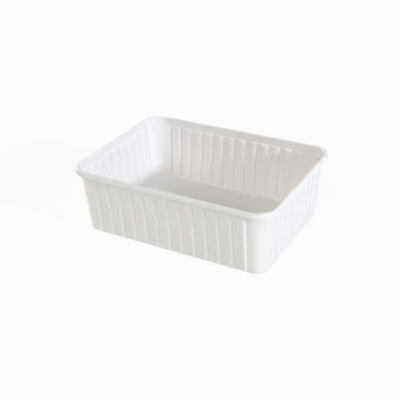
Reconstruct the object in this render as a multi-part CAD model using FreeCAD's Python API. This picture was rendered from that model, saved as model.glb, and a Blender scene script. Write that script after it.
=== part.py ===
"""Thermoformed food tray in white plastic, formed as one piece from one sheet.

A rectangular tray with a turned-down rim, a plain band below the rim, a small
shoulder, fluted side walls and a floor whose middle panel stands lower than
its border, so that the tray rests on that panel.

Frame: +Z up, +X along the length, origin under the middle of the foot panel.
Sizes are in millimetres and angles in degrees.

The tray is the outer form less the inner form. Both come from the same
functions: "skin" is how far a form lies inside the outer face of the sheet.
"""
import FreeCAD, Part
import os
from math import acos, atan2, cos, pi, radians, sin, tan

# Overall
length = 187.0          # over the rim, along X
width = 137.0           # over the rim, along Y
height = 61.0           # from the foot panel to the top of the rim
sheet = 0.8             # thickness of the formed sheet

# Rim: a flat flange with a stepped skirt turned down round its edge
rim_radius = 17.0       # corner of the rim, seen from above
flange_width = 3.0      # from the inner edge of the rim to its outer edge
skirt_height = 4.2      # from the top of the rim to the foot of the skirt
lip_drop = 2.2          # from the top of the rim to the lip on the skirt
lip_step = 0.5          # how far the lip stands out, and its height
rim_edge = 0.9          # rounding of the outer edge of the flange
mouth_edge = 0.5        # bevel of the inner edge of the flange

# Plain band under the rim, down to the shoulder
band_height = 8.6       # from the top of the rim to the shoulder, outside
band_draft = 3.0        # lean of the band
shoulder_drop = 0.7     # height of the sloping shoulder

# Side walls, measured on the lands between the flutes
wall_inset = 4.0        # from the edge of the rim to the wall at the shoulder
wall_draft = 5.0        # lean of the wall
wall_radius = 15.0      # corner of the wall at the shoulder

# Flutes: flat-topped ribs pressed outwards, open to the inside
flute_pitch = 11.5      # between the middles of two flutes
flute_crest = 4.0       # width of the flat crest
flute_depth = 1.2       # how far the crest stands out from the lands
flute_angle = 53.0      # slope of the flanks
flute_bevel = 0.8       # flat on the proud edges, on either face of the sheet
flute_runout = 2.0      # height above the border over which a flute dies away
end_land = 0.05         # least plain wall between the last flute and a corner

# Bottom
foot_height = 1.6       # how far the foot panel stands below the border
foot_angle = 45.0       # slope of the step between border and panel
border_width = 3.2      # plain border between the wall and that step
heel_rounding = 1.3     # rounding between the wall and the border, outside
heel_steps = 2          # flat strips that make up that rounding, outside

# Derived levels and places
shoulder_z = height - band_height
corner_x = length / 2 - wall_inset - wall_radius
corner_y = width / 2 - wall_inset - wall_radius
band_inset = flange_width - sheet


def rounded_wire(corners, z):
    """Closed wire at height z through (x, y, radius) corners; radius 0 is sharp."""
    points = [FreeCAD.Vector(x, y, z) for x, y, _ in corners]
    following = points[1:] + points[:1]
    stops = []
    arcs = []
    for i, here in enumerate(points):
        radius = corners[i][2]
        if radius == 0:
            stops.append((here, here))
            arcs.append(None)
            continue
        back = (points[i - 1] - here).normalize()
        ahead = (following[i] - here).normalize()
        half = acos(back.dot(ahead)) / 2
        run = radius / tan(half)
        apex = here + (back + ahead).normalize() * (radius / sin(half) - radius)
        start, end = here + back * run, here + ahead * run
        stops.append((start, end))
        arcs.append(Part.Arc(start, apex, end).toShape())
    edges = []
    for i, arc in enumerate(arcs):
        if arc:
            edges.append(arc)
        next_start = stops[(i + 1) % len(stops)][0]
        edges.append(Part.LineSegment(stops[i][1], next_start).toShape())
    return Part.Wire(edges)


def plain_outline(half_x, half_y, radius, z):
    """Rounded rectangle centred on the tray."""
    signs = ((1, -1), (1, 1), (-1, 1), (-1, -1))
    corners = [(sx * half_x, sy * half_y, radius) for sx, sy in signs]
    return rounded_wire(corners, z)


def rim_outline(inset, z):
    """Outline that lies "inset" inside the edge of the rim."""
    return plain_outline(length / 2 - inset, width / 2 - inset, rim_radius - inset, z)


def wall_outline(inset, z):
    """Plain outline of band, shoulder or floor, round the wall's own corners."""
    half_x = length / 2 - inset
    half_y = width / 2 - inset
    return plain_outline(half_x, half_y, half_x - corner_x, z)


def flute_half(skin):
    """Half a flute as (distance from its middle, height above the lands)."""
    turn = radians(flute_angle)
    crest = flute_crest / 2 - skin * tan(turn / 2)
    foot = crest + flute_depth / tan(turn)
    along = flute_bevel * cos(turn)
    rise = flute_bevel * sin(turn)
    if skin:
        return [(foot + flute_bevel, 0.0), (foot - along, rise), (crest, flute_depth)]
    return [(foot, 0.0), (crest + along, flute_depth - rise),
            (crest - flute_bevel, flute_depth)]


def flute_places(corner):
    """Middles of the flutes on a straight wall that ends at +-corner."""
    widest = max(flute_half(skin)[0][0] for skin in (0.0, sheet))
    count = int(2 * (corner - end_land - widest) / flute_pitch) + 1
    return [(i - (count - 1) / 2) * flute_pitch for i in range(count)]


def fluted_outline(inset, skin, share, z):
    """Outline of the fluted wall: lands at "inset", moved in by "skin".

    The flutes stand out by "share" of their depth.
    """
    low = inset + skin
    half = flute_half(skin)
    profile = [(-along, out) for along, out in half] + half[::-1]

    def side(corner, half_span, half_across):
        """Corners of one wall, as (along it, out from the middle, radius)."""
        base = half_across - low
        points = []
        for middle in flute_places(corner):
            points += [(middle + along, base + out * share, 0.0) for along, out in profile]
        points.append((half_span - low, base, half_span - low - corner))
        return points

    long_side = side(corner_x, length / 2, width / 2)
    short_side = side(corner_y, width / 2, length / 2)
    corners = [(along, -out, radius) for along, out, radius in long_side]
    corners += [(out, along, radius) for along, out, radius in short_side]
    corners += [(-along, out, radius) for along, out, radius in long_side]
    corners += [(-out, -along, radius) for along, out, radius in short_side]
    return rounded_wire(corners, z)


def stack(outlines):
    """Solid ruled through the outlines, from the lowest to the highest."""
    return Part.makeLoft(outlines, True, True)


def wall_inset_at(z):
    """Inset of the outer face of the lands at height z."""
    return wall_inset + (shoulder_z - z) * tan(radians(wall_draft))


def fluted_body(skin):
    """Fluted wall, from the border of the floor to the top of the shoulder."""
    bottom = foot_height + skin
    radius = heel_rounding - skin
    steps = 1 if skin else heel_steps
    outlines = []
    for step in range(steps + 1):
        angle = radians(90.0 * step / steps)
        rise = radius * (1 - cos(angle))
        tuck = radius * (1 - sin(angle))
        inset = wall_inset_at(bottom + rise) + tuck
        share = rise / (flute_runout - skin)
        outlines.append(fluted_outline(inset, skin, share, bottom + rise))
    for z in (foot_height + flute_runout, shoulder_z + skin + shoulder_drop):
        outlines.append(fluted_outline(wall_inset_at(z), skin, 1.0, z))
    return stack(outlines)


def band_body(skin):
    """Shoulder and plain band, up to the mouth."""
    land = wall_inset_at(shoulder_z)
    slope_top = shoulder_z + shoulder_drop
    low = band_inset + (height - slope_top) * tan(radians(band_draft))
    slope = atan2(shoulder_drop, land - low)
    lift = skin * tan((pi / 2 - slope) / 2)
    return stack([wall_outline(land + skin, shoulder_z + lift),
                  wall_outline(low + skin, slope_top + lift),
                  wall_outline(band_inset + skin, height)])


def foot_body(skin):
    """Foot panel, below the border of the floor."""
    border = wall_inset_at(foot_height) + border_width
    run = foot_height / tan(radians(foot_angle))
    shift = skin * tan(radians(foot_angle / 2))
    return stack([wall_outline(border + run + shift, skin),
                  wall_outline(border + shift, foot_height + skin)])


def form(skin):
    """Everything inside the outer face (skin 0) or inner face (skin sheet)."""
    return fluted_body(skin).multiFuse([band_body(skin), foot_body(skin)])


def rim():
    """Flange and skirt, hollow underneath, still closed across the mouth."""
    foot = height - skirt_height
    lip = height - lip_drop
    block = stack([rim_outline(0.0, foot), rim_outline(0.0, lip - lip_step),
                   rim_outline(lip_step, lip), rim_outline(lip_step, height)])
    hollow = stack([rim_outline(sheet, foot), rim_outline(sheet, lip - lip_step),
                    rim_outline(sheet + lip_step, lip - sheet / 2),
                    rim_outline(sheet + lip_step, height - sheet)])
    return block.cut(hollow)


def edges_at(shape, z, inset):
    """Edges of the loop at height z that runs "inset" inside the rim."""
    found = []
    for edge in shape.Edges:
        box = edge.BoundBox
        if box.ZMin < z - 1e-4 or box.ZMax > z + 1e-4:
            continue
        far_x = abs(max(abs(box.XMin), abs(box.XMax)) - (length / 2 - inset))
        far_y = abs(max(abs(box.YMin), abs(box.YMax)) - (width / 2 - inset))
        if min(far_x, far_y) < 1e-4:
            found.append(edge)
    return found


def tray():
    """The whole tray as one solid."""
    outer = form(0.0).fuse(rim())
    shell = outer.cut(form(sheet))
    shell = shell.makeFillet(rim_edge, edges_at(shell, height, lip_step))
    shell = shell.makeChamfer(mouth_edge, edges_at(shell, height, flange_width))
    return shell.Solids[0]


os.makedirs("parts", exist_ok=True)
tray().exportStep("parts/tray.step")
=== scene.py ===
"""Looks for a thermoformed tray in white plastic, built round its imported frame."""
from math import cos, radians, sin

import bmesh
import bpy
from bpy.props import FloatProperty, FloatVectorProperty, PointerProperty
from mathutils import Matrix, Vector


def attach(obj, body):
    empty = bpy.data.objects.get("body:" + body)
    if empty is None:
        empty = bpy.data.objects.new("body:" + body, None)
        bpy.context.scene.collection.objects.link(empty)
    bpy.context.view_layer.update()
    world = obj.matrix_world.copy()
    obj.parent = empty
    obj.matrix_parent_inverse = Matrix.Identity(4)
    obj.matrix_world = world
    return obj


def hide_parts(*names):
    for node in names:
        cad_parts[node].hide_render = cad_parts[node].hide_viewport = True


bl_info = {
    "name": "Thermoformed tray",
    "version": (1, 0, 0),
    "blender": (4, 5, 0),
    "location": "3D View > Sidebar > Tray",
    "description": "Finishes the formed sheet of a fluted plastic tray and stages it",
    "category": "Object",
}

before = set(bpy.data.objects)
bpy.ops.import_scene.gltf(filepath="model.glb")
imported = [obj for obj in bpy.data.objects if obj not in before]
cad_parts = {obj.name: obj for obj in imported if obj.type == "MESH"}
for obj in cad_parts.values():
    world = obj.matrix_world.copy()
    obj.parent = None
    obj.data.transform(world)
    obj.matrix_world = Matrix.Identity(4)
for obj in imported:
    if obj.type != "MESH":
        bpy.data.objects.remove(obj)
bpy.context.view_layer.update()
NODE = "tray"

# Plastic. The waves are slow and left by forming, the grain is fine.
WAVE_SCALE = 28.0
WAVE_ROUGHNESS = 0.5
GRAIN_SCALE = 900.0
GRAIN_ROUGHNESS = 0.6
NOISE_DETAIL = 2.0
NOISE_MIDDLE = 0.5
DARKENED_HEIGHT = 0.03       # metres above the foot over which the colour darkens towards the foot
DARKENED_BY_HEIGHT = 0.6     # share of the darkening that follows the height
DARKENED_BY_WAVES = 0.4      # share of the darkening that follows the waves
GRAIN_IN_RIPPLE = 0.06      # height of the grain, where the waves have 1
GRAIN_IN_GLOSS = 0.12       # how far the grain swings the roughness
WAVES_IN_GLOSS = 0.08       # how far the waves swing the roughness
PLASTIC_IOR = 1.5
LARGE_FACES_FIRST = 100     # the strongest pull of large faces on the shading

# Stage
WHITE = (1.0, 1.0, 1.0, 1.0)
FLOOR_REACH = 4.0           # metres from the middle of the floor to each side
SENSOR_WIDTH = 36.0         # millimetres
FILL_PLACES = {             # degrees: azimuth from +X towards +Y, elevation
    "left_fill": (160.0, 16.0),
    "front_fill": (262.0, 40.0),
    "back_fill": (80.0, 32.0),
}


# ---------------------------------------------------------------- settings

class SheetSettings(bpy.types.PropertyGroup):
    """The formed sheet: its edges and its plastic."""

    weld: FloatProperty(
        name="Weld distance", description="Corners nearer than this become one",
        default=2e-6, min=0.0, subtype="DISTANCE", unit="LENGTH")
    crease: FloatProperty(
        name="Crease angle",
        description="Edges that turn by more than this stay crisp",
        default=radians(50.0), subtype="ANGLE", unit="ROTATION")
    plastic: FloatVectorProperty(
        name="Plastic", description="Colour of the white plastic",
        default=(0.86, 0.85, 0.845), size=3, min=0.0, max=1.0, subtype="COLOR")
    darker_plastic: FloatVectorProperty(
        name="Darker plastic",
        description="Colour that the plastic darkens to towards the foot",
        default=(0.82, 0.81, 0.80), size=3, min=0.0, max=1.0, subtype="COLOR")
    roughness: FloatProperty(
        name="Roughness", description="Gloss of the sheet: lower is shinier",
        default=0.24, min=0.0, max=1.0, subtype="FACTOR")
    ripple: FloatProperty(
        name="Ripple", description="Height of the slow waves left by forming",
        default=0.00005, min=0.0, subtype="DISTANCE", unit="LENGTH")


class StageSettings(bpy.types.PropertyGroup):
    """Floor, lamps and camera."""

    floor_colour: FloatVectorProperty(
        name="Floor", description="Colour of the floor",
        default=(0.90, 0.90, 0.90), size=3, min=0.0, max=1.0, subtype="COLOR")
    shadow_depth: FloatProperty(
        name="Shadow depth",
        description="Share of the real shadow that the floor shows",
        default=0.12, min=0.0, max=1.0, subtype="FACTOR")
    key_strength: FloatProperty(
        name="Key", description="Strength of the low light at the right",
        default=2.25, min=0.0)
    key_colour: FloatVectorProperty(
        name="Key colour", description="Colour of the low light at the right",
        default=(0.88, 0.92, 1.0), size=3, min=0.0, max=1.0, subtype="COLOR")
    key_azimuth: FloatProperty(
        name="Key azimuth", description="Turn of the key from +X towards +Y",
        default=radians(-4.0), subtype="ANGLE", unit="ROTATION")
    key_elevation: FloatProperty(
        name="Key elevation", description="Height of the key above the floor",
        default=radians(18.0), subtype="ANGLE", unit="ROTATION")
    key_softness: FloatProperty(
        name="Key softness", description="Width of the key as seen from the tray",
        default=radians(8.0), subtype="ANGLE", unit="ROTATION")
    left_fill: FloatProperty(
        name="Left fill", description="Strength of the broad light at the left",
        default=1.55, min=0.0)
    front_fill: FloatProperty(
        name="Front fill", description="Strength of the broad light at the front",
        default=1.5, min=0.0)
    back_fill: FloatProperty(
        name="Back fill", description="Strength of the broad light at the back",
        default=0.8, min=0.0)
    fill_softness: FloatProperty(
        name="Fill softness", description="Width of the fills as seen from the tray",
        default=radians(45.0), subtype="ANGLE", unit="ROTATION")
    fill_colour: FloatVectorProperty(
        name="Fill colour", description="Colour of the fills",
        default=(1.0, 0.975, 0.93), size=3, min=0.0, max=1.0, subtype="COLOR")
    sky_strength: FloatProperty(
        name="Sky", description="Strength of the light from all round",
        default=0.06, min=0.0)
    view_azimuth: FloatProperty(
        name="View azimuth",
        description="Turn of the camera from the front towards +X",
        default=radians(29.72), subtype="ANGLE", unit="ROTATION")
    view_elevation: FloatProperty(
        name="View elevation", description="Height of the camera above the floor",
        default=radians(28.74), subtype="ANGLE", unit="ROTATION")
    view_roll: FloatProperty(
        name="View roll", description="Roll of the camera",
        default=radians(-1.63), subtype="ANGLE", unit="ROTATION")
    view_distance: FloatProperty(
        name="View distance",
        description="From the camera to the point that it is placed from",
        default=0.6704, min=0.0, subtype="DISTANCE", unit="LENGTH")
    view_right: FloatProperty(
        name="View right", description="How far the tray stands right of the middle",
        default=0.00393, subtype="DISTANCE", unit="LENGTH")
    view_down: FloatProperty(
        name="View down", description="How far the tray stands below the middle",
        default=0.01581, subtype="DISTANCE", unit="LENGTH")
    aim_height: FloatProperty(
        name="Aim height",
        description="Height of the point that the camera is placed from",
        default=0.0024, subtype="DISTANCE", unit="LENGTH")
    lens: FloatProperty(
        name="Lens", description="Focal length on a 36 mm wide picture",
        default=67.13, min=1.0)


# ---------------------------------------------------------------- materials

class Socket:
    """A shader socket whose arithmetic adds Math nodes."""

    def __init__(self, nodes, output):
        self.nodes = nodes
        self.output = output

    def _math(self, operation, first, second):
        return self.nodes.add("ShaderNodeMath", {"operation": operation},
                              {0: first, 1: second})

    def __add__(self, other):
        return self._math("ADD", self, other)

    def __radd__(self, other):
        return self._math("ADD", other, self)

    def __sub__(self, other):
        return self._math("SUBTRACT", self, other)

    def __rsub__(self, other):
        return self._math("SUBTRACT", other, self)

    def __mul__(self, other):
        return self._math("MULTIPLY", self, other)

class ShaderTree:
    """A material's or world's nodes, added one by one."""

    def __init__(self, tree):
        self.tree = tree
        self.tree.nodes.clear()

    def add(self, kind, settings=None, inputs=None, output=0):
        """Adds a node, sets it up and links it, and returns one of its outputs."""
        node = self.tree.nodes.new(kind)
        for name, value in (settings or {}).items():
            setattr(node, name, value)
        for name, value in (inputs or {}).items():
            if isinstance(value, Socket):
                self.tree.links.new(value.output, node.inputs[name])
            else:
                node.inputs[name].default_value = value
        return Socket(self, node.outputs[output]) if node.outputs else None


def new_material(name):
    material = bpy.data.materials.new(name)
    material.use_nodes = True
    return material, ShaderTree(material.node_tree)


def opaque(colour):
    return (*colour, 1.0)


def white_plastic(look):
    """Semi-gloss white plastic, a little uneven from forming, its colour darker
    towards the foot.
    """
    material, shader = new_material("white_plastic")
    place = shader.add("ShaderNodeTexCoord", output="Object")
    waves = shader.add("ShaderNodeTexNoise", {"noise_dimensions": "3D"},
                       {"Vector": place, "Scale": WAVE_SCALE,
                        "Detail": NOISE_DETAIL, "Roughness": WAVE_ROUGHNESS})
    grain = shader.add("ShaderNodeTexNoise", {"noise_dimensions": "3D"},
                       {"Vector": place, "Scale": GRAIN_SCALE,
                        "Detail": NOISE_DETAIL, "Roughness": GRAIN_ROUGHNESS})
    height = shader.add("ShaderNodeSeparateXYZ", {}, {"Vector": place}, "Z")
    rise = shader.add("ShaderNodeMapRange", {"clamp": True},
                      {"Value": height, "From Min": 0.0, "From Max": DARKENED_HEIGHT})
    # The colour darkens towards the foot, and unevenly with the waves.
    darkened = (1.0 - rise) * DARKENED_BY_HEIGHT + waves * DARKENED_BY_WAVES
    colour = shader.add("ShaderNodeMix", {"data_type": "RGBA"},
                        {"Factor": darkened, "A": opaque(look.plastic),
                         "B": opaque(look.darker_plastic)}, "Result")
    ripple = shader.add("ShaderNodeBump", {},
                        {"Strength": 1.0, "Distance": look.ripple,
                         "Height": waves + grain * GRAIN_IN_RIPPLE})
    surface = shader.add("ShaderNodeBsdfPrincipled", {}, {
        "Base Color": colour,
        "Roughness": (look.roughness + (grain - NOISE_MIDDLE) * GRAIN_IN_GLOSS
                      + (waves - NOISE_MIDDLE) * WAVES_IN_GLOSS),
        "IOR": PLASTIC_IOR,
        "Normal": ripple})
    shader.add("ShaderNodeOutputMaterial", {}, {"Surface": surface})
    return material


def pale_floor(stage):
    """White to the camera, with a share of the shadow left in."""
    material, shader = new_material("pale_floor")
    matt = shader.add("ShaderNodeBsdfDiffuse", {},
                      {"Color": opaque(stage.floor_colour)})
    white = shader.add("ShaderNodeEmission", {}, {"Color": WHITE, "Strength": 1.0})
    seen = seen_directly(shader)
    surface = shader.add("ShaderNodeMixShader", {},
                         {0: seen * (1.0 - stage.shadow_depth), 1: matt, 2: white})
    shader.add("ShaderNodeOutputMaterial", {}, {"Surface": surface})
    return material


def seen_directly(shader):
    """1 on rays from the camera, mirrors and glass, and 0 on all others."""
    rays = [shader.add("ShaderNodeLightPath", output=name)
            for name in ("Is Camera Ray", "Is Glossy Ray", "Is Transmission Ray")]
    either = shader.add("ShaderNodeMath", {"operation": "MAXIMUM"},
                        {0: rays[0], 1: rays[1]})
    return shader.add("ShaderNodeMath", {"operation": "MAXIMUM"},
                      {0: either, 1: rays[2]})


# ---------------------------------------------------------------- pieces

def link_mesh(name, mesh):
    piece = bpy.data.objects.new(name, mesh)
    bpy.context.scene.collection.objects.link(piece)
    return piece


def formed_sheet(look):
    """The tray's own shape, welded, with smooth rounds and crisp creases."""
    mesh = bpy.data.meshes.new("formed_sheet")
    shape = bmesh.new()
    shape.from_mesh(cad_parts[NODE].data)
    bmesh.ops.remove_doubles(shape, verts=shape.verts, dist=look.weld)
    for face in shape.faces:
        face.smooth = True
    for edge in shape.edges:
        edge.smooth = edge.calc_face_angle(0.0) < look.crease
    shape.to_mesh(mesh)
    shape.free()
    piece = link_mesh("formed_sheet", mesh)
    shading = piece.modifiers.new("even_shading", "WEIGHTED_NORMAL")
    shading.keep_sharp = True
    shading.weight = LARGE_FACES_FIRST
    return piece


class TRAY_OT_formed_sheet(bpy.types.Operator):
    """Dresses the formed sheet in its plastic."""

    bl_idname = "tray.formed_sheet"
    bl_label = "Formed sheet"

    def execute(self, context):
        look = context.scene.tray_sheet
        piece = formed_sheet(look)
        piece.data.materials.append(white_plastic(look))
        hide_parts(NODE)
        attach(piece, "root")
        return {"FINISHED"}


# ---------------------------------------------------------------- stage

def lay_floor(stage):
    mesh = bpy.data.meshes.new("floor")
    plane = bmesh.new()
    bmesh.ops.create_grid(plane, x_segments=1, y_segments=1, size=FLOOR_REACH)
    plane.to_mesh(mesh)
    plane.free()
    floor = link_mesh("floor", mesh)
    floor.data.materials.append(pale_floor(stage))


def direction(azimuth, elevation):
    """Unit vector at an azimuth from +X towards +Y and a height above the floor."""
    return Vector((cos(azimuth) * cos(elevation), sin(azimuth) * cos(elevation),
                   sin(elevation)))


def hang_lamp(name, azimuth, elevation, strength, colour, softness):
    """A far lamp, as wide as "softness" seen from the tray."""
    lamp = bpy.data.lights.new(name, "SUN")
    lamp.energy = strength
    lamp.color = colour
    lamp.angle = softness
    holder = bpy.data.objects.new(name, lamp)
    towards = direction(azimuth, elevation)
    holder.rotation_euler = towards.to_track_quat("Z", "Y").to_euler()
    bpy.context.scene.collection.objects.link(holder)


def hang_lamps(stage):
    hang_lamp("key", stage.key_azimuth, stage.key_elevation,
              stage.key_strength, stage.key_colour, stage.key_softness)
    for name, (azimuth, elevation) in FILL_PLACES.items():
        hang_lamp(name, radians(azimuth), radians(elevation),
                  getattr(stage, name), stage.fill_colour, stage.fill_softness)


def light_world(stage):
    world = bpy.data.worlds.new("soft_sky")
    world.use_nodes = True
    shader = ShaderTree(world.node_tree)
    sky = shader.add("ShaderNodeBackground", {},
                     {"Color": WHITE, "Strength": stage.sky_strength})
    white = shader.add("ShaderNodeBackground", {}, {"Color": WHITE, "Strength": 1.0})
    surface = shader.add("ShaderNodeMixShader", {},
                         {0: seen_directly(shader), 1: sky, 2: white})
    shader.add("ShaderNodeOutputWorld", {}, {"Surface": surface})
    bpy.context.scene.world = world


def set_camera(stage):
    back = Vector((sin(stage.view_azimuth) * cos(stage.view_elevation),
                   -cos(stage.view_azimuth) * cos(stage.view_elevation),
                   sin(stage.view_elevation)))
    level = Vector((cos(stage.view_azimuth), sin(stage.view_azimuth), 0.0))
    turn = Matrix.Rotation(stage.view_roll, 3, back)
    right = turn @ level
    up = back.cross(right)
    place = (back * stage.view_distance - right * stage.view_right
             + up * stage.view_down + Vector((0.0, 0.0, stage.aim_height)))
    camera = bpy.data.objects.new("camera", bpy.data.cameras.new("camera"))
    camera.data.lens = stage.lens
    camera.data.sensor_width = SENSOR_WIDTH
    camera.matrix_world = Matrix.Translation(place) @ Matrix(
        (right, up, back)).transposed().to_4x4()
    bpy.context.scene.collection.objects.link(camera)
    bpy.context.scene.camera = camera


class TRAY_OT_stage(bpy.types.Operator):
    """Lays the floor, hangs the lamps and sets the camera."""

    bl_idname = "tray.stage"
    bl_label = "Stage"

    def execute(self, context):
        stage = context.scene.tray_stage
        lay_floor(stage)
        hang_lamps(stage)
        light_world(stage)
        set_camera(stage)
        context.scene.view_settings.view_transform = "Standard"
        return {"FINISHED"}


class TRAY_PT_panel(bpy.types.Panel):
    """Lists the pieces of the tray and its stage."""

    bl_idname = "TRAY_PT_panel"
    bl_label = "Tray"
    bl_space_type = "VIEW_3D"
    bl_region_type = "UI"
    bl_category = "Tray"

    def draw(self, context):
        for operator, settings in ((TRAY_OT_formed_sheet, context.scene.tray_sheet),
                                   (TRAY_OT_stage, context.scene.tray_stage)):
            box = self.layout.box()
            box.operator(operator.bl_idname)
            for name in settings.__annotations__:
                box.prop(settings, name)


CLASSES = (SheetSettings, StageSettings, TRAY_OT_formed_sheet, TRAY_OT_stage,
           TRAY_PT_panel)


def register():
    for item in CLASSES:
        bpy.utils.register_class(item)
    bpy.types.Scene.tray_sheet = PointerProperty(type=SheetSettings)
    bpy.types.Scene.tray_stage = PointerProperty(type=StageSettings)


def unregister():
    del bpy.types.Scene.tray_stage
    del bpy.types.Scene.tray_sheet
    for item in reversed(CLASSES):
        bpy.utils.unregister_class(item)


def main():
    register()
    bpy.ops.tray.formed_sheet()
    bpy.ops.tray.stage()


if __name__ == "__main__":
    main()
